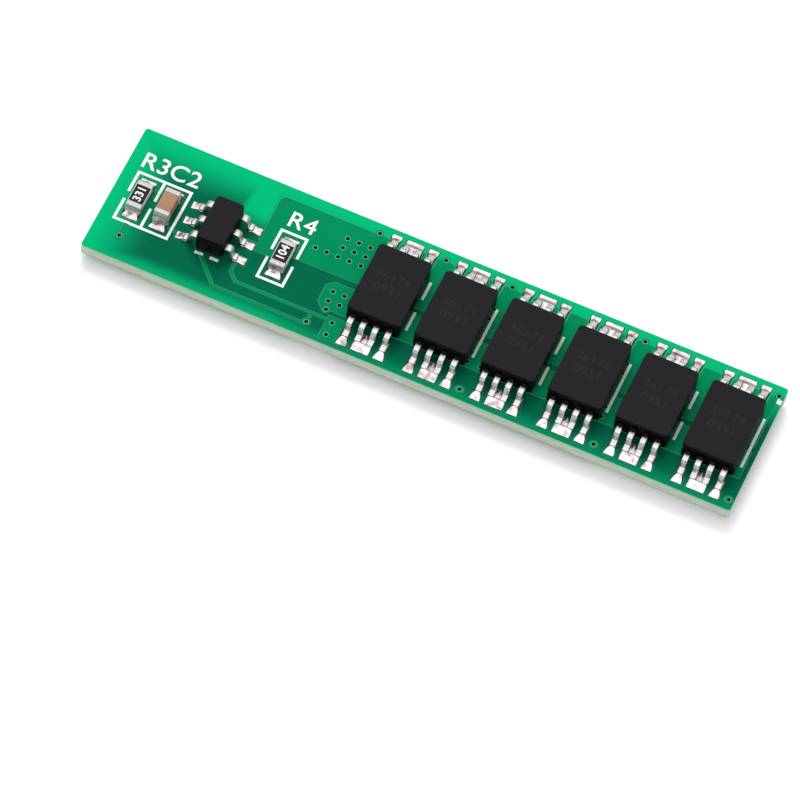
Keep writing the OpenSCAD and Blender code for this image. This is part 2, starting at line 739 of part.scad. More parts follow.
// A pad of solder that domes down from the board, with sloped round ends
module solder_dome() {
    rise = output_dome_h;
    r = (output_w * output_w / 4 + rise * rise) / (2 * rise);
    translate([0, 0, -rise]) hull() for (s = [-1, 1])
        translate([s * (output_l - output_w) / 2, 0, 0]) rotate_extrude($fn = 40) intersection() {
            translate([0, r]) circle(r, $fn = 240);
            square([output_w / 2, rise]);
        }
}

module solder_outputs() {
    color("#D8D4D6") for (place = [[output_x, output_minus_y], [output_plus_x, output_plus_y]])
        translate([place.x, place.y, z_copper_below]) solder_dome();
}

// ---- Welding tabs ----------------------------------------------------------

module tab(x, y, l, w, hole_r) {
    color("#DDD6D2") translate([x, y, 0]) difference() {
        linear_extrude(tab_t) rounded_rect(l, w, tab_r);
        translate([0, 0, -cut]) cylinder(r = hole_r, h = tab_t + 2 * cut);
    }
}

laminate();
copper_top();
copper_bottom();
mask_top();
mask_bottom();
legend_top();
legend_bottom();
for (i = [1 : fet_count]) mosfet(i - 1);
for (i = [1 : fet_count]) mosfet_leads(i - 1);
controller();
controller_leads();
resistor_body(resistor_1_x);  // resistor_1
resistor_coat(resistor_1_x);  // resistor_1_coat
resistor_ends(resistor_1_x);  // resistor_1_ends
resistor_body(resistor_2_x);  // resistor_2
resistor_coat(resistor_2_x);  // resistor_2_coat
resistor_ends(resistor_2_x);  // resistor_2_ends
capacitor_body();  // capacitor
capacitor_ends();
solder_mosfets();
solder_controller();
solder_chips();
solder_tabs();
solder_outputs();
tab(minus_tab_x, 0, minus_tab_l, minus_tab_w, minus_hole_r);  // tab_minus
tab(plus_tab_x, plus_tab_y, plus_tab_l, plus_tab_w, plus_hole_r);  // tab_plus
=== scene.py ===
import math

import bmesh
import bpy
from mathutils import Matrix, Vector


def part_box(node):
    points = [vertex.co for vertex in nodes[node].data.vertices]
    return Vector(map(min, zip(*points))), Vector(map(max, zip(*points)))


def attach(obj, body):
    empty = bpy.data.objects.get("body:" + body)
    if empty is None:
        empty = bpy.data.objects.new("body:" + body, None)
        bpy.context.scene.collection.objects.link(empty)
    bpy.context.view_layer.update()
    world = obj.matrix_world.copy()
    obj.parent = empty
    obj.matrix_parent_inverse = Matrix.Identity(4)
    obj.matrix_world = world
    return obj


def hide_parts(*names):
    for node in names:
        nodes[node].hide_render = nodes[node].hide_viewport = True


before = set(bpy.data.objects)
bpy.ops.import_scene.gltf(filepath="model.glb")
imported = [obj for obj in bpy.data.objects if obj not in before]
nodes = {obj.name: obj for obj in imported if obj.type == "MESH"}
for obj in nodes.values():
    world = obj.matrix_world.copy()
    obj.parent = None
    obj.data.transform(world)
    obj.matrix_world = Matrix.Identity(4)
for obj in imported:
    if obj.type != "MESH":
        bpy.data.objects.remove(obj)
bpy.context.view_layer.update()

# ---- Laminate ---------------------------------------------------------------
# The board's core is woven glass fibre set in epoxy, pressed flat and routed
# to a narrow strip. The solder masks hide its faces, so only the routed edge
# shows: pale cream that the green mask tints along its upper arris.

MM = 0.001


def box_mm(node):
    """The low and high corners of a node's box, in millimetres."""
    low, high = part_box(node)
    return low / MM, high / MM


def linear(colour):
    """A colour written as sRGB hex, as the linear RGBA that a socket takes."""
    parts = [int(colour[i : i + 2], 16) / 255 for i in (0, 2, 4)]
    return [p / 12.92 if p <= 0.04045 else ((p + 0.055) / 1.055) ** 2.4 for p in parts] + [1.0]


def add(tree, kind, inputs=None, **settings):
    """Adds a node; an input takes a value or the output socket that feeds it."""
    made = tree.nodes.new(kind)
    for name, value in settings.items():
        setattr(made, name, value)
    for socket, value in (inputs or {}).items():
        if isinstance(value, bpy.types.NodeSocket):
            tree.links.new(value, made.inputs[socket])
        else:
            made.inputs[socket].default_value = value
    return made


def start_material(name):
    """A new material with its node tree, its shader and the object's place in mm."""
    material = bpy.data.materials.new(name)
    material.use_nodes = True
    tree = material.node_tree
    shader = tree.nodes["Principled BSDF"]
    place = add(tree, "ShaderNodeTexCoord")
    in_mm = add(
        tree, "ShaderNodeVectorMath", {0: place.outputs["Object"], "Scale": 1 / MM}, operation="SCALE"
    )
    return material, tree, shader, in_mm.outputs["Vector"]


def dress(piece, material):
    piece.data.materials.clear()
    piece.data.materials.append(material)
    return piece


core_high = box_mm("laminate")[1]
routed_laminate, tree, shader, at = start_material("routed_glass_epoxy_edge")
axes = add(tree, "ShaderNodeSeparateXYZ", {0: at})
# Woven layers about 0.1 mm thick run level along the cut edge
layers = add(tree, "ShaderNodeMapping", {0: at, "Scale": (1.6, 1.6, 11)})
plies = add(
    tree,
    "ShaderNodeTexNoise",
    {"Vector": layers.outputs[0], "Scale": 1.0, "Detail": 4.0, "Roughness": 0.65},
)
tint = add(tree, "ShaderNodeValToRGB", {0: plies.outputs["Fac"]})
tint.color_ramp.elements[0].position = 0.34
tint.color_ramp.elements[0].color = linear("B9CCB2")
tint.color_ramp.elements[1].position = 0.66
tint.color_ramp.elements[1].color = linear("D9E2CE")
green_top = add(
    tree,
    "ShaderNodeMapRange",
    {0: axes.outputs["Z"], 1: core_high.z - 0.2, 2: core_high.z},
    interpolation_type="SMOOTHSTEP",
)
edge_tint = add(
    tree,
    "ShaderNodeMix",
    {0: green_top.outputs[0], 6: tint.outputs[0], 7: linear("9AD8B4")},
    data_type="RGBA",
)
# Its level faces show only in the slits round the pads; there they are
# painted a dark green as painted shade in those narrow gaps
facing = add(tree, "ShaderNodeNewGeometry")
facing = add(tree, "ShaderNodeSeparateXYZ", {0: facing.outputs["Normal"]})
level = add(tree, "ShaderNodeMath", {0: facing.outputs["Z"]}, operation="ABSOLUTE")
slit_face_painted_shade = add(tree, "ShaderNodeMath", {0: level.outputs[0], 1: 0.9}, operation="GREATER_THAN")
seen = add(
    tree,
    "ShaderNodeMix",
    {0: slit_face_painted_shade.outputs[0], 6: edge_tint.outputs[2], 7: linear("0A5A3C")},
    data_type="RGBA",
)
tree.links.new(seen.outputs[2], shader.inputs["Base Color"])
shader.inputs["Roughness"].default_value = 0.62
shader.inputs["Specular IOR Level"].default_value = 0.3
grit = add(tree, "ShaderNodeTexNoise", {"Vector": at, "Scale": 14.0, "Detail": 3.0})
rough_cut = add(
    tree, "ShaderNodeBump", {"Strength": 0.35, "Distance": 0.02 * MM, "Height": grit.outputs["Fac"]}
)
tree.links.new(rough_cut.outputs[0], shader.inputs["Normal"])
dress(nodes["laminate"], routed_laminate)

# ---- Copper -----------------------------------------------------------------
# Both faces carry etched copper foil 35 microns thick, joined by plated
# barrels. It shows only inside the vias and the slits by the feet, and its
# dark green-brown there is painted shade, not the metal's own colour.

copper_in_painted_shade, tree, shader, at = start_material("plated_copper_painted_shade")
# Painted shade: two dark green-browns stand in for the shade inside the holes
shade_mottle = add(tree, "ShaderNodeTexNoise", {"Vector": at, "Scale": 6.0, "Detail": 3.0})
shade = add(
    tree,
    "ShaderNodeMix",
    {0: shade_mottle.outputs["Fac"], 6: linear("1E3A26"), 7: linear("3F5030")},
    data_type="RGBA",
)
tree.links.new(shade.outputs[2], shader.inputs["Base Color"])
shader.inputs["Metallic"].default_value = 0.6
shader.inputs["Roughness"].default_value = 0.5
for name in ("copper_top", "copper_bottom"):
    dress(nodes[name], copper_in_painted_shade)

# ---- Solder mask ------------------------------------------------------------
# A glossy green liquid film, cured over both faces. It is mid green over
# copper, deep green over bare laminate that has copper on its far side, and
# vivid where no copper stands behind it or light enters from the edge.

mask_high = box_mm("mask_top")[1].z
mask_low = box_mm("mask_bottom")[0].z
foil = 0.035


def mask_material(name, level_bare, level_copper):
    """Green mask that reads, from its own height, whether copper lies under it."""
    material, tree, shader, at = start_material(name)
    axes = add(tree, "ShaderNodeSeparateXYZ", {0: at})
    x, y, z = (axes.outputs[i] for i in "XYZ")
    flow = add(tree, "ShaderNodeTexNoise", {"Vector": at, "Scale": 0.55, "Detail": 3.0, "Roughness": 0.55})
    deep = add(
        tree,
        "ShaderNodeMix",
        {0: flow.outputs["Fac"], 6: linear("005840"), 7: linear("006A49")},
        data_type="RGBA",
    )
    mid = add(
        tree,
        "ShaderNodeMix",
        {0: flow.outputs["Fac"], 6: linear("007B50"), 7: linear("008F5B")},
        data_type="RGBA",
    )
    # Light comes through the laminate towards the rear rim and the left end
    rear = add(tree, "ShaderNodeMapRange", {0: y, 1: 1.2, 2: 3.7}, interpolation_type="SMOOTHSTEP")
    end = add(tree, "ShaderNodeMapRange", {0: x, 1: -14.0, 2: -16.9}, interpolation_type="SMOOTHSTEP")
    front = add(tree, "ShaderNodeMapRange", {0: y, 1: -3.0, 2: -3.85}, interpolation_type="SMOOTHSTEP")
    far = add(tree, "ShaderNodeMapRange", {0: x, 1: -4.0, 2: -7.5, 3: 0.3, 4: 0.7})
    front_lit = add(tree, "ShaderNodeMath", {0: front.outputs[0], 1: far.outputs[0]}, operation="MULTIPLY")
    lit = add(tree, "ShaderNodeMath", {0: rear.outputs[0], 1: end.outputs[0]}, operation="MAXIMUM")
    lit = add(tree, "ShaderNodeMath", {0: lit.outputs[0], 1: front_lit.outputs[0]}, operation="MAXIMUM")
    # One strip of laminate has no copper on either face and glows most
    strip_left = add(
        tree, "ShaderNodeMapRange", {0: x, 1: -11.2, 2: -10.6}, interpolation_type="SMOOTHSTEP"
    )
    strip_right = add(tree, "ShaderNodeMapRange", {0: x, 1: -9.2, 2: -9.6}, interpolation_type="SMOOTHSTEP")
    strip_front = add(tree, "ShaderNodeMapRange", {0: y, 1: 0.6, 2: 1.8}, interpolation_type="SMOOTHSTEP")
    strip = add(
        tree, "ShaderNodeMath", {0: strip_left.outputs[0], 1: strip_right.outputs[0]}, operation="MULTIPLY"
    )
    strip = add(
        tree, "ShaderNodeMath", {0: strip.outputs[0], 1: strip_front.outputs[0]}, operation="MULTIPLY"
    )
    lit = add(tree, "ShaderNodeMath", {0: lit.outputs[0], 1: strip.outputs[0]}, operation="MAXIMUM")
    bare = add(
        tree,
        "ShaderNodeMix",
        {0: lit.outputs[0], 6: deep.outputs[2], 7: linear("00B474")},
        data_type="RGBA",
    )
    on_copper = add(
        tree,
        "ShaderNodeMapRange",
        {0: z, 1: level_bare, 2: level_copper},
        interpolation_type="SMOOTHSTEP",
    )
    body = add(
        tree,
        "ShaderNodeMix",
        {0: on_copper.outputs[0], 6: bare.outputs[2], 7: mid.outputs[2]},
        data_type="RGBA",
    )
    # Painted highlight: a paler green within 0.05 mm of every edge of the film
    # stands in for the glint off its sloped edges
    rounded = add(tree, "ShaderNodeBevel", {"Radius": 0.05 * MM}, samples=8)
    face = add(tree, "ShaderNodeNewGeometry")
    turned = add(
        tree,
        "ShaderNodeVectorMath",
        {0: rounded.outputs[0], 1: face.outputs["Normal"]},
        operation="DOT_PRODUCT",
    )
    edge_glint_painted = add(
        tree,
        "ShaderNodeMapRange",
        {0: turned.outputs["Value"], 1: 0.998, 2: 0.85, 4: 0.6},
        interpolation_type="SMOOTHSTEP",
    )
    body = add(
        tree,
        "ShaderNodeMix",
        {0: edge_glint_painted.outputs[0], 6: body.outputs[2], 7: linear("58C8A0")},
        data_type="RGBA",
    )
    tree.links.new(body.outputs[2], shader.inputs["Base Color"])
    shader.inputs["Roughness"].default_value = 0.3
    shader.inputs["Specular IOR Level"].default_value = 0.18
    shader.inputs["Specular Tint"].default_value = linear("10C080")
    peel = add(tree, "ShaderNodeTexNoise", {"Vector": at, "Scale": 2.2, "Detail": 2.0})
    skin = add(
        tree,
        "ShaderNodeBump",
        {
            "Strength": 0.25,
            "Distance": 0.02 * MM,
            "Height": peel.outputs["Fac"],
            "Normal": rounded.outputs[0],
        },
    )
    tree.links.new(skin.outputs[0], shader.inputs["Normal"])
    return material


dress(nodes["mask_top"], mask_material("green_solder_mask_top", mask_high - foil, mask_high))
dress(nodes["mask_bottom"], mask_material("green_solder_mask_bottom", mask_low + foil, mask_low))

# ---- Via collars ------------------------------------------------------------
# Each via is drilled, plated through and left open. The mask draws back from
# the hole; a flattened ring stands for the plated collar, and its pale green is
# painted highlight on that rounded rim.

via_r = 0.1
collar_w = 0.022
collar_r = 0.02

collar_painted_highlight, tree, shader, at = start_material("via_collar_painted_highlight")
# Painted highlight: noise patches the ring between mask green and pale green glints
glint_patches = add(tree, "ShaderNodeTexNoise", {"Vector": at, "Scale": 8.0, "Detail": 3.0})
shade = add(
    tree,
    "ShaderNodeMix",
    {0: glint_patches.outputs["Fac"], 6: linear("0E8F62"), 7: linear("7CD6B2")},
    data_type="RGBA",
)
tree.links.new(shade.outputs[2], shader.inputs["Base Color"])
shader.inputs["Metallic"].default_value = 0.35
shader.inputs["Roughness"].default_value = 0.35


def hole_centres(node, hole_r):
    """The middle of each small round hole: the point that many facets of its wall face."""
    votes = []
    for facet in nodes[node].data.polygons:
        if abs(facet.normal.z) < 0.01 and facet.area < 0.001 * MM * MM:
            middle = facet.center / MM + facet.normal * hole_r
            middle.z = 0
            for vote in votes:
                if (vote[0] - middle).length < 0.03:
                    vote[1] += 1
                    break
            else:
                votes.append([middle, 1])
    return [middle for middle, count in votes if count > 20]


def make_piece(name, shape, crease=40):
    """Turns a shape in mm into an object in metres, smooth but for edges above the crease angle."""
    bmesh.ops.recalc_face_normals(shape, faces=shape.faces)
    bmesh.ops.scale(shape, vec=(MM, MM, MM), verts=shape.verts)
    for face in shape.faces:
        face.smooth = True
    mesh = bpy.data.meshes.new(name)
    shape.to_mesh(mesh)
    shape.free()
    mesh.set_sharp_from_angle(angle=math.radians(crease))
    piece = bpy.data.objects.new(name, mesh)
    bpy.context.scene.collection.objects.link(piece)
    return piece


def place_piece(piece, material, instead_of=()):
    """Dresses a new piece, ties it to the board and hides the nodes that it stands for."""
    dress(piece, material)
    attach(piece, "root")
    for node in instead_of:
        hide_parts(node)
    return piece


def copies(mesh, places, shape=None):
    """A copy of a mesh at each place, in the shape given or else in a new one."""
    if shape is None:
        shape = bmesh.new()
    for place in places:
        before = len(shape.verts)
        shape.from_mesh(mesh)
        shape.verts.ensure_lookup_table()
        bmesh.ops.transform(shape, matrix=place, verts=shape.verts[before:])
    return shape


def collar_ring():
    """A flattened ring round a via, in mm, spun from a small circle."""
    shape = bmesh.new()
    upright = Matrix.Translation((via_r + collar_w, 0, 0)) @ Matrix.Rotation(math.pi / 2, 4, "X")
    bmesh.ops.create_circle(shape, segments=8, radius=collar_r, matrix=upright)
    bmesh.ops.spin(
        shape,
        geom=shape.verts[:] + shape.edges[:],
        cent=(0, 0, 0),
        axis=(0, 0, 1),
        angle=math.tau,
        steps=28,
        use_merge=True,
    )
    bmesh.ops.scale(shape, vec=(1, 1, 0.4), verts=shape.verts)
    mesh = bpy.data.meshes.new("collar")
    shape.to_mesh(mesh)
    shape.free()
    return mesh


collar = collar_ring()
for name, level in (("mask_top", mask_high), ("mask_bottom", mask_low)):
    rings = copies(collar, [Matrix.Translation((c.x, c.y, level)) for c in hole_centres(name, via_r)])
    place_piece(make_piece(name + "_collars", rings), collar_painted_highlight)

# ---- Legend -----------------------------------------------------------------
# White ink, screen printed over the mask in lines about 0.14 mm wide, and in
# two wide fields on the reverse. It is matt and a little uneven. Each part's
# designator stands beside its frame, drawn with a round stroke.

legend_ink, tree, shader, at = start_material("white_screen_printed_ink")
mottle = add(tree, "ShaderNodeTexNoise", {"Vector": at, "Scale": 5.0, "Detail": 3.0})
shade = add(
    tree,
    "ShaderNodeMix",
    {0: mottle.outputs["Fac"], 6: linear("E6F2EE"), 7: linear("FFFFFF")},
    data_type="RGBA",
)
tree.links.new(shade.outputs[2], shader.inputs["Base Color"])
shader.inputs["Roughness"].default_value = 0.6
shader.inputs["Specular IOR Level"].default_value = 0.2
for name in ("legend_top", "legend_bottom"):
    dress(nodes[name], legend_ink)

ink_t = 0.015


def printed_word(name, word, height, bold, material, turn):
    """A flat word of ink, its middle at the origin of the turn given, in mm."""
    letters = bpy.data.curves.new(name + "_letters", "FONT")
    letters.body = word
    letters.size = height / 0.72
    letters.offset = bold
    letters.extrude = ink_t / 2
    letters.align_x = "CENTER"
    letters.align_y = "CENTER"
    letters.space_character = 1.06
    drawn = bpy.data.objects.new(name + "_drawn", letters)
    bpy.context.scene.collection.objects.link(drawn)
    settled = drawn.evaluated_get(bpy.context.evaluated_depsgraph_get())
    mesh = bpy.data.meshes.new_from_object(settled)
    bpy.data.objects.remove(drawn)
    mesh.name = name
    mesh.transform(Matrix.Scale(MM, 4) @ turn)
    piece = bpy.data.objects.new(name, mesh)
    bpy.context.scene.collection.objects.link(piece)
    return place_piece(piece, material)


# The mask stands a foil's thickness higher where copper lies under it
coated_top = mask_high + ink_t / 2
bare_top = coated_top - foil
resistor_1_at = sum(box_mm("resistor_1"), Vector()) / 2
capacitor_at = sum(box_mm("capacitor"), Vector()) / 2
resistor_2_at = sum(box_mm("resistor_2"), Vector()) / 2
designator_h = 0.95
pen = 0.012
designator_y = resistor_1_at.y + 2.27
for name, word, x, face in (
    ("designator_r3", "R3", resistor_1_at.x - 0.1, bare_top),
    ("designator_c2", "C2", capacitor_at.x + 0.02, bare_top),
    ("designator_r4", "R4", resistor_2_at.x + 0.1, coated_top),
):
    middle = Matrix.Translation((x, designator_y, face))
    printed_word(name, word, designator_h, pen, legend_ink, middle)

# ---- MOSFET bodies ----------------------------------------------------------
# Each MOSFET pair is transfer moulded in black epoxy. Both halves taper away
# from the parting line where the leads leave, and the corners are rounded.

epoxy_black, tree, shader, at = start_material("moulded_black_epoxy_matt")
grain = add(tree, "ShaderNodeTexNoise", {"Vector": at, "Scale": 26.0, "Detail": 3.0, "Roughness": 0.6})
cloud = add(tree, "ShaderNodeTexNoise", {"Vector": at, "Scale": 1.1, "Detail": 2.0})
shade = add(
    tree,
    "ShaderNodeMix",
    {0: cloud.outputs["Fac"], 6: linear("131316"), 7: linear("1A1A1D")},
    data_type="RGBA",
)
fleck = add(tree, "ShaderNodeMapRange", {0: grain.outputs["Fac"], 1: 0.35, 2: 0.75, 3: 0.0, 4: 0.5})
shade = add(
    tree, "ShaderNodeMix", {0: fleck.outputs[0], 6: shade.outputs[2], 7: linear("232326")}, data_type="RGBA"
)
# Painted shade: the side walls are painted near black for the shade on them,
# and the top keeps the moulding's own colour
facing = add(tree, "ShaderNodeNewGeometry")
facing = add(tree, "ShaderNodeSeparateXYZ", {0: facing.outputs["Normal"]})
painted_wall_shade_factor = add(tree, "ShaderNodeMapRange", {0: facing.outputs["Z"], 1: 0.5, 2: 0.95})
shade = add(
    tree,
    "ShaderNodeMix",
    {0: painted_wall_shade_factor.outputs[0], 6: linear("08080A"), 7: shade.outputs[2]},
    data_type="RGBA",
)
tree.links.new(shade.outputs[2], shader.inputs["Base Color"])
shader.inputs["Roughness"].default_value = 0.5
shader.inputs["Specular IOR Level"].default_value = 0.14
skin = add(
    tree, "ShaderNodeBump", {"Strength": 0.5, "Distance": 0.012 * MM, "Height": grain.outputs["Fac"]}
)
tree.links.new(skin.outputs[0], shader.inputs["Normal"])


def boxed(shape, low, high):
    """A box between two corners; returns its vertices."""
    low, high = Vector(low), Vector(high)
    sized = Matrix.LocRotScale((low + high) / 2, None, high - low)
    return bmesh.ops.create_cube(shape, size=1, matrix=sized)["verts"]


def round_edges(shape, edges, radius, segments):
    bmesh.ops.bevel(
        shape,
        geom=list(edges),
        offset=radius,
        segments=segments,
        profile=0.5,
        affect="EDGES",
        material=-1,
    )


def moulded_block(low, high, draft, corner, lip):
    """A moulded body: tapered halves, rounded upright corners and softened top and bottom edges."""
    shape = bmesh.new()
    boxed(shape, low, high)
    parting = (low.z + high.z) / 2
    bmesh.ops.bisect_plane(
        shape,
        geom=shape.verts[:] + shape.edges[:] + shape.faces[:],
        plane_co=(0, 0, parting),
        plane_no=(0, 0, 1),
    )
    middle = (low + high) / 2
    inward = (high.z - low.z) / 2 * math.tan(math.radians(draft))
    for vert in shape.verts:
        if abs(vert.co.z - parting) > 0.01:
            vert.co.x -= math.copysign(inward, vert.co.x - middle.x)
            vert.co.y -= math.copysign(inward, vert.co.y - middle.y)
    upright = [e for e in shape.edges if abs(e.verts[0].co.z - e.verts[1].co.z) > 0.1]
    round_edges(shape, upright, corner, 5)
    level = [f for f in shape.faces if abs(f.normal.z) > 0.99]
    round_edges(shape, {e for f in level for e in f.edges}, lip, 3)
    return shape


mosfets = sorted(n for n in nodes if n.startswith("mosfet_") and not n.endswith("leads"))
body_draft = 12
lead_pitch = 0.65
lead_columns = (-1.5, -0.5, 0.5, 1.5)
bleed_size = (0.17, 0.11, 0.13)
for name in mosfets:
    low, high = box_mm(name)
    shape = moulded_block(low, high, body_draft, 0.22, 0.04)
    # A little resin bleeds out over each lead where the mould halves meet
    for k in lead_columns:
        for y in (low.y, high.y):
            exit_at = Vector(((low.x + high.x) / 2 + k * lead_pitch, y, (low.z + high.z) / 2 + 0.05))
            bleed = Matrix.LocRotScale(exit_at, None, bleed_size)
            bmesh.ops.create_uvsphere(shape, u_segments=16, v_segments=10, radius=1, matrix=bleed)
    place_piece(make_piece(name + "_body", shape), epoxy_black, [name])

# ---- Laser marks ------------------------------------------------------------
# A laser burns two lines of digits, a batch number, a few microns into each
# MOSFET's top. The mark is barely paler than the moulding.

laser_mark, tree, shader, at = start_material("laser_burnt_epoxy_mark")
burn = add(tree, "ShaderNodeTexNoise", {"Vector": at, "Scale": 20.0, "Detail": 2.0})
shade = add(
    tree,
    "ShaderNodeMix",
    {0: burn.outputs["Fac"], 6: linear("222224"), 7: linear("3A3938")},
    data_type="RGBA",
)
tree.links.new(shade.outputs[2], shader.inputs["Base Color"])
shader.inputs["Roughness"].default_value = 0.8
shader.inputs["Specular IOR Level"].default_value = 0.1
mark_h = 0.5
flatten = Matrix.Scale(0.2, 4, (0, 0, 1))
for name in mosfets:
    low, high = box_mm(name)
    for line, digits in ((0.38, "36174"), (-0.38, "0951")):
        over = Matrix.Translation(((low.x + high.x) / 2, line, high.z + 0.002)) @ flatten
        printed_word(f"{name}_mark_{digits}", digits, mark_h, -pen, laser_mark, over)

# ---- MOSFET leads -----------------------------------------------------------
# Copper lead frames, tin plated, cropped and formed into gull wings after
# moulding: four leads on each long end, in slots at the parting line.

tin_plate, tree, shader, at = start_material("bright_tin_plated_lead")
drawn = add(tree, "ShaderNodeMapping", {0: at, "Scale": (9, 2.5, 9)})
haze = add(tree, "ShaderNodeTexNoise", {"Vector": drawn.outputs[0], "Scale": 1.4, "Detail": 4.0})
shade = add(
    tree,
    "ShaderNodeMix",
    {0: haze.outputs["Fac"], 6: linear("D8D3D2"), 7: linear("FBFAF9")},
    data_type="RGBA",
)
# Painted shade: ambient occlusion darkens the tight corners at the bends and
# round the foot to a dark grey-green
crevice_painted_shade = add(tree, "ShaderNodeAmbientOcclusion", {"Distance": 0.16 * MM}, samples=6)
open_air = add(
    tree, "ShaderNodeMapRange", {0: crevice_painted_shade.outputs["AO"], 1: 0.35, 2: 0.8}, interpolation_type="SMOOTHSTEP"
)
shade = add(
    tree,
    "ShaderNodeMix",
    {0: open_air.outputs[0], 6: linear("2C3B33"), 7: shade.outputs[2]},
    data_type="RGBA",
)
tree.links.new(shade.outputs[2], shader.inputs["Base Color"])
shader.inputs["Metallic"].default_value = 1.0
rough = add(tree, "ShaderNodeMapRange", {0: haze.outputs["Fac"], 3: 0.3, 4: 0.42})
tree.links.new(rough.outputs[0], shader.inputs["Roughness"])
skin = add(tree, "ShaderNodeBump", {"Strength": 0.3, "Distance": 0.01 * MM, "Height": haze.outputs["Fac"]})
tree.links.new(skin.outputs[0], shader.inputs["Normal"])


def gull_wing(width, thick, drop, reach, shoulder, bend_r, lean):
    """One lead along +Y: its strip is drawn as a ribbon through two bends, then given its thickness.

    The parting line is y = 0, z = drop and the foot stands on z = 0.
    """
    shape = bmesh.new()
    inside = 0.1
    turn = math.radians(90 - lean)
    outer_r = bend_r + thick
    middle_r = bend_r + thick / 2
    leg = (drop - thick / 2 - 2 * middle_r * (1 - math.cos(turn))) / math.sin(turn)
    ends = [shape.verts.new((side * width / 2, -inside, drop + thick / 2)) for side in (-1, 1)]
    strip = [shape.edges.new(ends)]

    def run(move):
        made = bmesh.ops.extrude_edge_only(shape, edges=strip)["geom"]
        bmesh.ops.translate(shape, vec=move, verts=[v for v in made if isinstance(v, bmesh.types.BMVert)])
        strip[:] = [e for e in made if isinstance(e, bmesh.types.BMEdge) and len(e.link_faces) == 1]
        strip[:] = [e for e in strip if abs(e.verts[0].co.y - e.verts[1].co.y) < 1e-6]

    def bend(centre, angle):
        made = bmesh.ops.spin(
            shape, geom=strip[0].verts[:] + strip, cent=centre, axis=(1, 0, 0), angle=angle, steps=5
        )["geom_last"]
        strip[:] = [e for e in made if isinstance(e, bmesh.types.BMEdge)]

    run((0, inside + shoulder, 0))
    bend((0, shoulder, drop + thick / 2 - outer_r), -turn)
    run((0, leg * math.cos(turn), -leg * math.sin(turn)))
    at_leg = strip[0].verts[0].co
    bend((0, at_leg.y + bend_r * math.sin(turn), at_leg.z + bend_r * math.cos(turn)), turn)
    run((0, reach - strip[0].verts[0].co.y, 0))
    bmesh.ops.recalc_face_normals(shape, faces=shape.faces)
    if shape.faces[:][0].normal.z < 0:
        bmesh.ops.reverse_faces(shape, faces=shape.faces)
    bmesh.ops.solidify(shape, geom=shape.faces[:], thickness=thick)
    bmesh.ops.recalc_face_normals(shape, faces=shape.faces)
    arris = [e for e in shape.edges if len(e.link_faces) == 2 and e.calc_face_angle() > 1.2]
    round_edges(shape, arris, 0.025, 2)
    mesh = bpy.data.meshes.new("formed_lead")
    shape.to_mesh(mesh)
    shape.free()
    return mesh


lead_w = 0.28
lead_t = 0.127
lead_lean = 8
inner_bend = 0.1
body_low, body_high = box_mm(mosfets[0])
leads_low, leads_high = box_mm(mosfets[0] + "_leads")
half_body = (body_high.y - body_low.y) / 2
exit_height = (body_low.z + body_high.z) / 2 - leads_low.z
lead_mesh = gull_wing(lead_w, lead_t, exit_height, leads_high.y - half_body, 0.28, inner_bend, lead_lean)
for name in mosfets:
    low, high = box_mm(name)
    middle = Matrix.Translation(((low.x + high.x) / 2, 0, leads_low.z))
    places = [
        middle @ Matrix.Rotation(turn, 4, "Z") @ Matrix.Translation((k * lead_pitch, half_body, 0))
        for turn in (0, math.pi)
        for k in lead_columns
    ]
    leads = make_piece(name + "_formed_leads", copies(lead_mesh, places))
    place_piece(leads, tin_plate, [name + "_leads"])

# ---- MOSFET solder joints ---------------------------------------------------
# Tin paste, printed on the pads and reflowed. It wets the foot's sides, runs
# out from the tip in a hollow slope and stops in a rounded rim at the pad's
# edge. The two inner leads of each end share one pad.

reflowed_tin, tree, shader, at = start_material("reflowed_bright_tin_solder")
haze = add(tree, "ShaderNodeTexNoise", {"Vector": at, "Scale": 2.6, "Detail": 3.0, "Roughness": 0.5})
shade = add(tree, "ShaderNodeValToRGB", {0: haze.outputs["Fac"]})
shade.color_ramp.elements[0].position = 0.33
shade.color_ramp.elements[0].color = linear("B8A8A7")
shade.color_ramp.elements[1].position = 0.5
shade.color_ramp.elements[1].color = linear("F6F1F0")
# Painted shade: ambient occlusion darkens the solder to a dark grey in the tight corners against the feet
crevice_painted_shade = add(tree, "ShaderNodeAmbientOcclusion", {"Distance": 0.14 * MM}, samples=6)
open_air = add(
    tree, "ShaderNodeMapRange", {0: crevice_painted_shade.outputs["AO"], 1: 0.4, 2: 0.85}, interpolation_type="SMOOTHSTEP"
)
shade = add(
    tree,
    "ShaderNodeMix",
    {0: open_air.outputs[0], 6: linear("4A4E46"), 7: shade.outputs[0]},
    data_type="RGBA",
)
tree.links.new(shade.outputs[2], shader.inputs["Base Color"])
shader.inputs["Metallic"].default_value = 1.0
shader.inputs["Roughness"].default_value = 0.3
ripple = add(tree, "ShaderNodeTexNoise", {"Vector": at, "Scale": 6.0, "Detail": 2.0})
skin = add(
    tree, "ShaderNodeBump", {"Strength": 0.3, "Distance": 0.02 * MM, "Height": ripple.outputs["Fac"]}
)
tree.links.new(skin.outputs[0], shader.inputs["Normal"])


def smooth_step(value, start, stop):
    t = min(max((value - start) / (stop - start), 0), 1)
    return t * t * (3 - 2 * t)


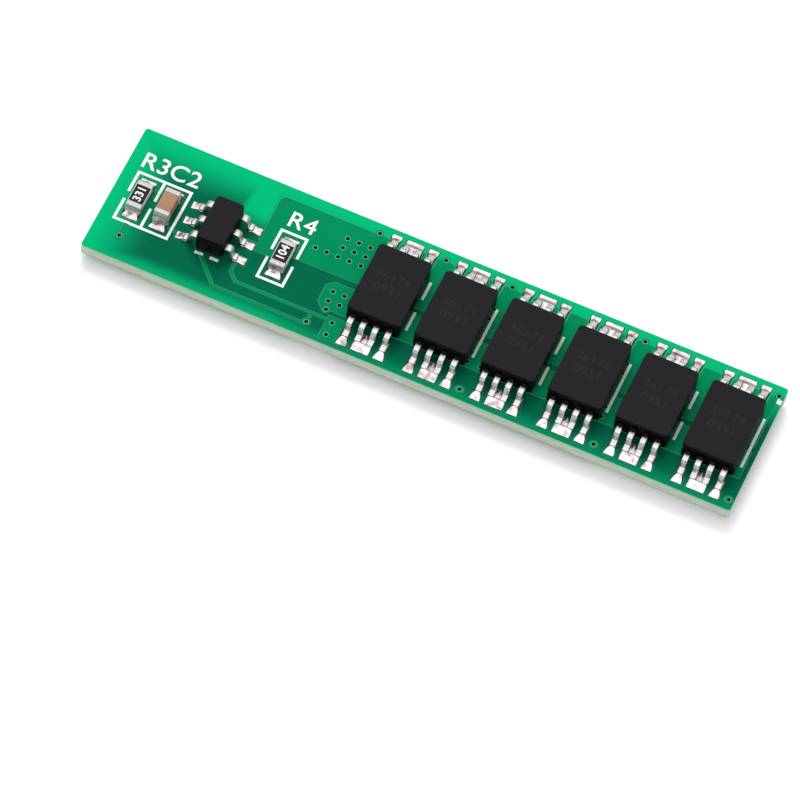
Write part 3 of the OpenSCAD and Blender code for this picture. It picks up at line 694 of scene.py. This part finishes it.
def solder_pad(inner, outer, width_at, height_at, rim=0.035, columns=16, rows=30):
    """Solder on one pad, from a grid that takes the pad's outline and then its height at each point.

    It runs along +Y from inner to outer. The height's sideways place is -1 to 1.
    """
    shape = bmesh.new()
    bmesh.ops.create_grid(shape, x_segments=columns, y_segments=rows, size=1)
    for vert in shape.verts:
        side, along = vert.co.x, (vert.co.y + 1) / 2
        y = inner + along * (outer - inner)
        # The outer corners are drawn in so that the outline is round
        tuck = 1 - 0.06 * (2 * abs(along - 0.5)) ** 12
        half = width_at(y) / 2 * tuck
        edge = min((1 - abs(side)) * half, y - inner, outer - y)
        swell = smooth_step(edge, -rim, rim)
        vert.co = (side * half, y, height_at(side, y) * swell)
    skirt = [e for e in shape.edges if e.is_boundary]
    made = bmesh.ops.extrude_edge_only(shape, edges=skirt)["geom"]
    lower = [v for v in made if isinstance(v, bmesh.types.BMVert)]
    for vert in lower:
        vert.co.z = 0
    mesh = bpy.data.meshes.new("solder")
    shape.to_mesh(mesh)
    shape.free()
    return mesh


joints_low, joints_high = box_mm("solder_mosfets")
land_z = joints_low.z
foot_top = leads_low.z - land_z + lead_t
pad_inner = 2.48
pad_tip = leads_high.y
pad_outer = joints_high.y


def single_width(y):
    """The joint is narrow along the foot and flares out beyond its tip."""
    return 0.35 + 0.2 * smooth_step(y, pad_tip - 0.12, pad_outer - 0.05)


def joined_width(y):
    return 0.94


def slope_height(side, y, crown):
    """The hollow slope beyond the tip, with a small groove where it leaves the foot."""
    if y < pad_tip:
        return 0.05
    s = (y - pad_tip) / (pad_outer - pad_tip)
    groove = 0.035 * math.exp(-(((y - pad_tip - 0.03) / 0.025) ** 2)) * (1 - 0.5 * abs(side))
    return max(0.03, foot_top * (1 - s) ** 1.7 * (1 - crown * side * side) - groove)


def single_height(side, y):
    return slope_height(side, y, 0.55)


def joined_height(side, y):
    """Between the two feet the solder bridges the gap lower down."""
    if y < pad_tip:
        return 0.05 + 0.05 * math.exp(-((side / 0.25) ** 2))
    return slope_height(side, y, 0.25)


joint_kinds = (
    (solder_pad(pad_inner, pad_outer, single_width, single_height), (-1.5, 1.5)),
    (solder_pad(pad_inner, pad_outer, joined_width, joined_height, columns=24), (0,)),
)
shape = bmesh.new()
for mesh, columns in joint_kinds:
    for name in mosfets:
        low, high = box_mm(name)
        middle = Matrix.Translation(((low.x + high.x) / 2, 0, land_z))
        places = [
            middle @ Matrix.Rotation(turn, 4, "Z") @ Matrix.Translation((k * lead_pitch, 0, 0))
            for turn in (0, math.pi)
            for k in columns
        ]
        copies(mesh, places, shape)
place_piece(make_piece("mosfet_joints", shape, 70), reflowed_tin, ["solder_mosfets"])

# ---- Controller -------------------------------------------------------------
# The protection controller is a smaller moulding of the same epoxy with three
# wide leads on each long side.

ic_low, ic_high = box_mm("controller")
ic_middle = (ic_low + ic_high) / 2
body = make_piece("controller_body", moulded_block(ic_low, ic_high, body_draft, 0.2, 0.05))
place_piece(body, epoxy_black, ["controller"])
ic_lead_w = 0.38
ic_lead_t = 0.15
ic_pitch = 0.98
ic_leads_low, ic_leads_high = box_mm("controller_leads")
ic_half = (ic_high.x - ic_low.x) / 2
ic_tip = ic_leads_high.x - ic_middle.x
ic_exit = ic_middle.z - ic_leads_low.z
ic_lead = gull_wing(ic_lead_w, ic_lead_t, ic_exit, ic_tip - ic_half, 0.08, inner_bend, lead_lean)
ic_centre = Matrix.Translation((ic_middle.x, ic_middle.y, ic_leads_low.z))
ic_turns = [
    (ic_centre @ Matrix.Rotation(turn, 4, "Z"), k)
    for turn in (-math.pi / 2, math.pi / 2)
    for k in (-1, 0, 1)
]
places = [turned @ Matrix.Translation((k * ic_pitch, ic_half, 0)) for turned, k in ic_turns]
leads = make_piece("controller_formed_leads", copies(ic_lead, places))
place_piece(leads, tin_plate, ["controller_leads"])

ic_pad_outer = box_mm("solder_controller")[1].x - ic_middle.x
ic_pad_inner = ic_tip - 0.2


def ic_pad_width(y):
    return 0.44


def ic_pad_height(side, y):
    if y < ic_tip:
        return 0.05
    s = (y - ic_tip) / (ic_pad_outer - ic_tip)
    groove = 0.06 * math.exp(-(((y - ic_tip - 0.06) / 0.04) ** 2)) * math.exp(-((side - 0.3) ** 2) / 0.3)
    return max(0.03, (foot_top + 0.02) * (1 - s) ** 1.3 * (1 - 0.4 * side * side) - groove)


ic_joint = solder_pad(ic_pad_inner, ic_pad_outer, ic_pad_width, ic_pad_height)
on_land = Matrix.Translation((0, 0, land_z - ic_leads_low.z))
places = [on_land @ turned @ Matrix.Translation((k * ic_pitch, 0, 0)) for turned, k in ic_turns]
joints = make_piece("controller_joints", copies(ic_joint, places), 70)
place_piece(joints, reflowed_tin, ["solder_controller"])

# ---- Chip resistors and capacitor -------------------------------------------
# Each chip is a fired ceramic block with metal ends. A resistor has a black
# glass coat with its value printed in white over the film. The capacitor's
# body is bare brown ceramic.

white_alumina, tree, shader, at = start_material("white_alumina_ceramic")
speck = add(tree, "ShaderNodeTexNoise", {"Vector": at, "Scale": 18.0, "Detail": 2.0})
shade = add(
    tree,
    "ShaderNodeMix",
    {0: speck.outputs["Fac"], 6: linear("DAD7CE"), 7: linear("F2F0E8")},
    data_type="RGBA",
)
tree.links.new(shade.outputs[2], shader.inputs["Base Color"])
shader.inputs["Roughness"].default_value = 0.5

brown_dielectric, tree, shader, at = start_material("brown_fired_dielectric")
speck = add(tree, "ShaderNodeTexNoise", {"Vector": at, "Scale": 14.0, "Detail": 4.0, "Roughness": 0.7})
shade = add(
    tree,
    "ShaderNodeMix",
    {0: speck.outputs["Fac"], 6: linear("8F6A50"), 7: linear("B99078")},
    data_type="RGBA",
)
tree.links.new(shade.outputs[2], shader.inputs["Base Color"])
shader.inputs["Roughness"].default_value = 0.5
shader.inputs["Specular IOR Level"].default_value = 0.3

black_glass, tree, shader, at = start_material("black_glass_coat")
speck = add(tree, "ShaderNodeTexNoise", {"Vector": at, "Scale": 12.0, "Detail": 2.0})
shade = add(
    tree,
    "ShaderNodeMix",
    {0: speck.outputs["Fac"], 6: linear("101012"), 7: linear("1D1C1F")},
    data_type="RGBA",
)
tree.links.new(shade.outputs[2], shader.inputs["Base Color"])
shader.inputs["Roughness"].default_value = 0.42
shader.inputs["Specular IOR Level"].default_value = 0.3

chip_plating, tree, shader, at = start_material("satin_tin_chip_plating")
haze = add(tree, "ShaderNodeTexNoise", {"Vector": at, "Scale": 9.0, "Detail": 4.0, "Roughness": 0.65})
shade = add(
    tree,
    "ShaderNodeMix",
    {0: haze.outputs["Fac"], 6: linear("BFB9B7"), 7: linear("F1EFEE")},
    data_type="RGBA",
)
tree.links.new(shade.outputs[2], shader.inputs["Base Color"])
shader.inputs["Metallic"].default_value = 0.85
shader.inputs["Roughness"].default_value = 0.45
skin = add(tree, "ShaderNodeBump", {"Strength": 0.4, "Distance": 0.012 * MM, "Height": haze.outputs["Fac"]})
tree.links.new(skin.outputs[0], shader.inputs["Normal"])

chip_end_l = 0.28
code_h = 0.42


def rounded_box(shape, low, high, radius, segments=3):
    verts = boxed(shape, low, high)
    round_edges(shape, {e for v in verts for e in v.link_edges}, radius, segments)


def chip_ends(node, radius):
    """The two metal ends of a chip, each folded round its last quarter millimetre."""
    low, high = box_mm(node)
    shape = bmesh.new()
    rounded_box(shape, (low.x, low.y, low.z), (high.x, low.y + chip_end_l, high.z), radius)
    rounded_box(shape, (low.x, high.y - chip_end_l, low.z), (high.x, high.y, high.z), radius)
    return place_piece(make_piece(node + "_folded", shape), chip_plating, [node])


def chip_core(node, ends, material, radius):
    """The ceramic between the two ends, reaching a little way into each."""
    low, high = box_mm(node)
    end_low, end_high = box_mm(ends)
    shape = bmesh.new()
    inset = chip_end_l - 0.05
    rounded_box(shape, (low.x, end_low.y + inset, low.z), (high.x, end_high.y - inset, high.z), radius, 2)
    return place_piece(make_piece(node + "_fired", shape), material, [node])


for name, code in (("resistor_1", "331"), ("resistor_2", "104")):
    chip_core(name, name + "_ends", white_alumina, 0.02)
    chip_ends(name + "_ends", 0.045)
    low, high = box_mm(name + "_coat")
    shape = bmesh.new()
    rounded_box(shape, low, high, 0.009, 2)
    place_piece(make_piece(name + "_glass", shape), black_glass, [name + "_coat"])
    middle = (low + high) / 2
    over = Matrix.Translation((middle.x, middle.y, high.z + 0.004)) @ Matrix.Rotation(math.pi / 2, 4, "Z")
    thinned = over @ Matrix.Scale(0.5, 4, (0, 0, 1))
    printed_word(name + "_code", code, code_h, pen, legend_ink, thinned)
chip_core("capacitor", "capacitor_ends", brown_dielectric, 0.05)
chip_ends("capacitor_ends", 0.07)

# ---- Chip solder ------------------------------------------------------------
# The same paste climbs the chips' metal ends and falls in a hollow slope to
# the rim of each pad, a little uneven from one joint to the next.

chips_low, chips_high = box_mm("solder_chips")


def chip_joint(half_l, height, sway):
    """Solder at one chip end; sway moves the ridge of the slope sideways."""
    outer = (chips_high.y - chips_low.y) / 2

    def width(y):
        waist = math.exp(-(((y - half_l - 0.16) / 0.12) ** 2))
        return 0.84 - 0.16 * waist

    def rise(side, y):
        if y < half_l:
            return 0.05
        s = (y - half_l) / (outer - half_l)
        ridge = 1 - 0.45 * (side - sway) ** 2
        pit = 0.07 * math.exp(-(((s - 0.62) / 0.13) ** 2) - ((side - 0.35 - sway) / 0.3) ** 2)
        return max(0.03, height * (1 - s) ** 2.4 * ridge + 0.06 * (1 - s) - pit)

    return solder_pad(half_l - 0.2, outer, width, rise, rim=0.05, columns=24, rows=30)


shape = bmesh.new()
for name, climb, sway in (("resistor_1", 0.34, 0.1), ("capacitor", 0.5, -0.1), ("resistor_2", 0.34, 0.2)):
    low, high = box_mm(name + "_ends")
    middle = (low + high) / 2
    for turn, lean in ((0, sway), (math.pi, -sway)):
        place = Matrix.Translation((middle.x, middle.y, land_z)) @ Matrix.Rotation(turn, 4, "Z")
        copies(chip_joint((high.y - low.y) / 2, climb, lean), [place], shape)
place_piece(make_piece("chip_joints", shape, 70), reflowed_tin, ["solder_chips"])

# ---- Welding tabs -----------------------------------------------------------
# Two blanked nickel plates, 0.3 mm thick, soldered flat to the reverse at the
# ends. A cell's strip is spot welded to each. Blanking rounds the lower arris
# and leaves a small hole in the middle.

blanked_nickel, tree, shader, at = start_material("rolled_nickel_plate")
rolled = add(tree, "ShaderNodeMapping", {0: at, "Scale": (0.6, 7, 3)})
streak = add(
    tree, "ShaderNodeTexNoise", {"Vector": rolled.outputs[0], "Scale": 2.0, "Detail": 5.0, "Roughness": 0.6}
)
shade = add(
    tree,
    "ShaderNodeMix",
    {0: streak.outputs["Fac"], 6: linear("CFC6C0"), 7: linear("EDE7E2")},
    data_type="RGBA",
)
tree.links.new(shade.outputs[2], shader.inputs["Base Color"])
shader.inputs["Metallic"].default_value = 1.0
shader.inputs["Roughness"].default_value = 0.34
skin = add(
    tree, "ShaderNodeBump", {"Strength": 0.2, "Distance": 0.01 * MM, "Height": streak.outputs["Fac"]}
)
tree.links.new(skin.outputs[0], shader.inputs["Normal"])


def plate_with_hole(low, high, corner, hole_r, lip):
    """A flat plate with round corners and a round hole through its middle."""
    shape = bmesh.new()
    boxed(shape, low, high)
    upright = [e for e in shape.edges if abs(e.verts[0].co.z - e.verts[1].co.z) > 0.1]
    round_edges(shape, upright, corner, 8)
    middle = (low + high) / 2
    faces = [f for f in shape.faces if abs(f.normal.z) > 0.9]
    rims = []
    for face in faces:
        bmesh.ops.inset_individual(shape, faces=[face], thickness=0.02)
        face.normal_update()
        bmesh.ops.inset_individual(shape, faces=[face], thickness=0.3)
        for vert in face.verts:
            out = (vert.co - middle).xy.normalized()
            vert.co = (middle.x + hole_r * out.x, middle.y + hole_r * out.y, vert.co.z)
        rims.append(face.edges[:])
    bmesh.ops.delete(shape, geom=faces, context="FACES_ONLY")
    bmesh.ops.bridge_loops(shape, edges=rims[0] + rims[1])
    lower = [e for e in shape.edges if e.calc_face_angle(0) > 1.2]
    round_edges(shape, lower, lip, 3)
    return shape


for node, hole in (("tab_minus", 0.3), ("tab_plus", 0.25)):
    low, high = box_mm(node)
    plate = make_piece(node + "_plate", plate_with_hole(low, high, 0.35, hole, 0.05))
    place_piece(plate, blanked_nickel, [node])

# ---- Tab solder and outputs -------------------------------------------------
# The solder under each tab shows as a narrow rim. The two output pads, bare
# for the user's wires, carry a low dome of tin with a frosted middle.

dress(nodes["solder_tabs"], reflowed_tin)

frosted_tin, tree, shader, at = start_material("frosted_tin_output_pad")
grains = add(tree, "ShaderNodeTexVoronoi", {"Vector": at, "Scale": 9.0, "Randomness": 1.0})
haze = add(tree, "ShaderNodeTexNoise", {"Vector": at, "Scale": 3.0, "Detail": 5.0})
both = add(
    tree, "ShaderNodeMath", {0: grains.outputs["Distance"], 1: haze.outputs["Fac"]}, operation="MULTIPLY"
)
shade = add(
    tree, "ShaderNodeMix", {0: both.outputs[0], 6: linear("F4F1F2"), 7: linear("9E9A9D")}, data_type="RGBA"
)
tree.links.new(shade.outputs[2], shader.inputs["Base Color"])
shader.inputs["Metallic"].default_value = 1.0
shader.inputs["Roughness"].default_value = 0.36
skin = add(tree, "ShaderNodeBump", {"Strength": 0.5, "Distance": 0.03 * MM, "Height": both.outputs[0]})
tree.links.new(skin.outputs[0], shader.inputs["Normal"])

outputs_low, outputs_high = box_mm("solder_outputs")
output_w = 2.0
output_l = 2.8
dome_h = outputs_high.z - outputs_low.z


def solder_dome():
    """A full, low dome that hangs from the board, steep at its rim and nearly level inside."""
    shape = bmesh.new()
    bmesh.ops.create_uvsphere(shape, u_segments=48, v_segments=32, radius=1)
    bmesh.ops.delete(shape, geom=[v for v in shape.verts if v.co.z > 0.001], context="VERTS")
    for vert in shape.verts:
        out = vert.co.xy.length
        stretch = (output_l - output_w) / 2 if abs(vert.co.x) > 0.001 else 0
        x = vert.co.x * output_w / 2 + math.copysign(stretch, vert.co.x)
        vert.co = (x, vert.co.y * output_w / 2, -dome_h * (1 - min(out, 1) ** 4))
    mesh = bpy.data.meshes.new("dome")
    shape.to_mesh(mesh)
    shape.free()
    return mesh


places = [
    Matrix.Translation((outputs_high.x - output_l / 2, outputs_high.y - output_w / 2, outputs_high.z)),
    Matrix.Translation((outputs_low.x + output_l / 2, outputs_low.y + output_w / 2, outputs_high.z)),
]
shape = copies(solder_dome(), places)
place_piece(make_piece("output_pads", shape, 60), frosted_tin, ["solder_outputs"])

# ---- Polarity signs ---------------------------------------------------------
# Each output and tab has a printed sign beside it on the reverse, in the same
# white ink as the fields.

sign_size = 0.75
sign_line = 0.15
bare_below = mask_low + foil - ink_t / 2


def polarity_sign(name, x, y, positive):
    """A minus, or a plus where positive, printed on the reverse."""
    shape = bmesh.new()
    reach = (sign_size / 2, sign_line / 2)
    bars = [reach, (reach[1], reach[0])] if positive else [reach[::-1]]
    for bar_x, bar_y in bars:
        boxed(shape, (x - bar_x, y - bar_y, bare_below - ink_t), (x + bar_x, y + bar_y, bare_below))
    return place_piece(make_piece(name, shape), legend_ink)


tab_minus_low = box_mm("tab_minus")[0]
tab_plus_high = box_mm("tab_plus")[1]
polarity_sign("sign_tab_minus", tab_minus_low.x - 1.3, -0.7, False)
polarity_sign("sign_tab_plus", tab_plus_high.x + 1.2, 0.3, True)
polarity_sign("sign_output_minus", outputs_low.x - 0.4, 2.4, False)
polarity_sign("sign_output_plus", outputs_low.x - 0.6, -2.4, True)

# ---- Studio floor, backdrop and light ----------------------------------------
# The board stands on its tabs on a sheet of white paper, under a broad soft
# light from behind on the left and a bright even surround.

floor_mesh = bmesh.new()
bmesh.ops.create_grid(floor_mesh, x_segments=1, y_segments=1, size=1.5)
floor_data = bpy.data.meshes.new("floor")
floor_mesh.to_mesh(floor_data)
floor_mesh.free()
floor = bpy.data.objects.new("floor", floor_data)
bpy.context.scene.collection.objects.link(floor)
paper, tree, shader, at = start_material("white_paper_floor")
shader.inputs["Base Color"].default_value = linear("F4F4F4")
shader.inputs["Roughness"].default_value = 1.0
shader.inputs["Specular IOR Level"].default_value = 0.0
path = add(tree, "ShaderNodeLightPath")
glow = add(tree, "ShaderNodeMath", {0: path.outputs["Is Camera Ray"], 1: 0.2}, operation="MULTIPLY")
tree.links.new(glow.outputs[0], shader.inputs["Emission Strength"])
shader.inputs["Emission Color"].default_value = linear("FFFFFF")
dress(floor, paper)

world = bpy.data.worlds.new("white_surround")
bpy.context.scene.world = world
world.use_nodes = True
tree = world.node_tree
sky = tree.nodes["Background"]
direction = add(tree, "ShaderNodeTexCoord")
up = add(tree, "ShaderNodeSeparateXYZ", {0: direction.outputs["Generated"]})
height = add(tree, "ShaderNodeMapRange", {0: up.outputs["Z"], 1: -0.1, 2: 0.5, 3: 0.35, 4: 0.75})
sky.inputs["Color"].default_value = linear("FFFFFF")
path = add(tree, "ShaderNodeLightPath")
mirror = add(tree, "ShaderNodeMapRange", {0: up.outputs["Z"], 1: 0.3, 2: 0.72, 3: 0.12, 4: 1.2})
strength = add(
    tree, "ShaderNodeMix", {0: path.outputs["Is Glossy Ray"], 2: height.outputs[0], 3: mirror.outputs[0]}
)
tree.links.new(strength.outputs[0], sky.inputs["Strength"])


def soft_lamp(name, place, size, watts):
    """A square area lamp aimed at the board; place in metres. Metal mirrors the surround instead of it."""
    data = bpy.data.lights.new(name, "AREA")
    data.size = size
    data.energy = watts
    lamp = bpy.data.objects.new(name, data)
    lamp.location = place
    lamp.rotation_mode = "QUATERNION"
    lamp.rotation_quaternion = Vector(place).to_track_quat("Z", "Y")
    lamp.visible_glossy = False
    bpy.context.scene.collection.objects.link(lamp)
    return lamp


soft_lamp("key_lamp", (-0.12, 0.24, 0.28), 0.22, 1.0)

# ---- Camera -------------------------------------------------------------------
# A long lens looks down on the board from the front right, turned a little so
# that the board runs down across the frame.

azimuth, elevation, roll = (math.radians(a) for a in (14.64, 55.58, 10.18))
aim = Vector((0.399, -5.229, 1.06)) * MM
distance = 375.13 * MM
level = math.cos(elevation)
back = Vector((math.sin(azimuth) * level, -math.cos(azimuth) * level, math.sin(elevation)))
across = Vector((math.cos(azimuth), math.sin(azimuth), 0))
upward = back.cross(across)
turned_x = math.cos(roll) * across + math.sin(roll) * upward
turned_y = -math.sin(roll) * across + math.cos(roll) * upward
camera_data = bpy.data.cameras.new("camera")
camera_data.lens = 352.78
camera_data.sensor_width = 36
camera_data.clip_start = 0.02
camera_data.clip_end = 10
camera = bpy.data.objects.new("camera", camera_data)
camera.matrix_world = Matrix(
    [
        [turned_x[i], turned_y[i], back[i], (aim + back * distance)[i]]
        for i in range(3)
    ]
    + [[0, 0, 0, 1]]
)
bpy.context.scene.collection.objects.link(camera)
bpy.context.scene.camera = camera
bpy.context.scene.view_settings.view_transform = "Standard"
